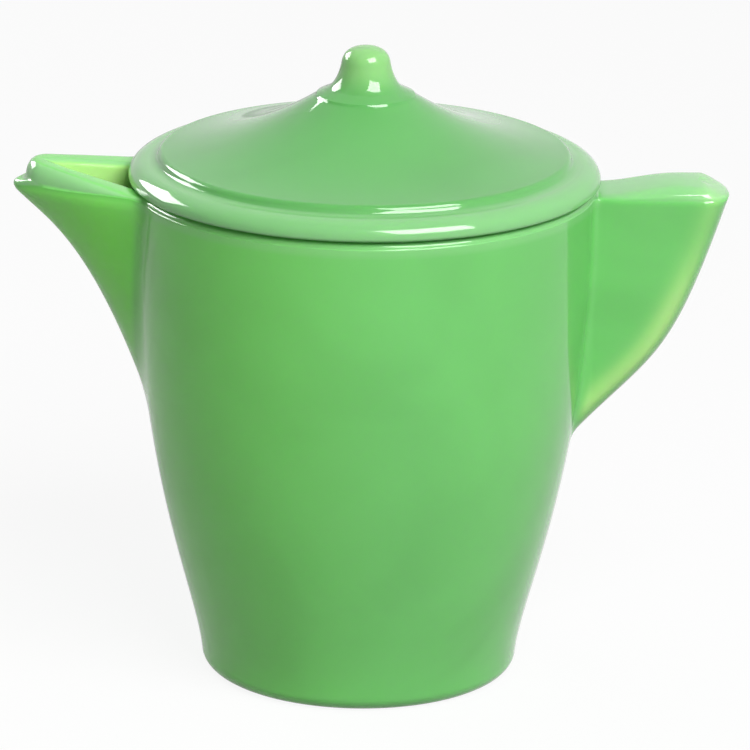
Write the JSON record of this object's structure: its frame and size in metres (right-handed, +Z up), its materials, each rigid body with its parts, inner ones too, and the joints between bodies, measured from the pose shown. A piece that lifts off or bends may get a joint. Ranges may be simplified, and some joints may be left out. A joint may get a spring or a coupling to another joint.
{
  "type": "toy teapot",
  "caption": "Child's toy teapot in pressed opaque green glass, with an open-topped spout, a solid wing handle and a loose conical lid with a bell knob.",
  "frame": {"origin": "centre of the flat underside of the pot, on the table", "axes": "+Z up along the pot's axis, +X towards the handle and -X towards the spout, so the XZ plane is the plane of symmetry"},
  "size_m": [0.0844, 0.0556, 0.0762],
  "materials": {
    "pot_glass": "opaque jade green pressed glass, fire-polished, faintly translucent at thin edges",
    "lid_glass": "opaque jade green pressed glass, fire-polished, a little greyer than the pot"
  },
  "bodies": {
    "pot": {"pot": "pot_glass"},
    "lid": {"lid": "lid_glass"}
  },
  "joints": [
    {"name": "lid_lift", "type": "slide", "parent": "pot", "child": "lid", "axis": [0, 0, 1], "range_m": [0, 0.04]}
  ]
}
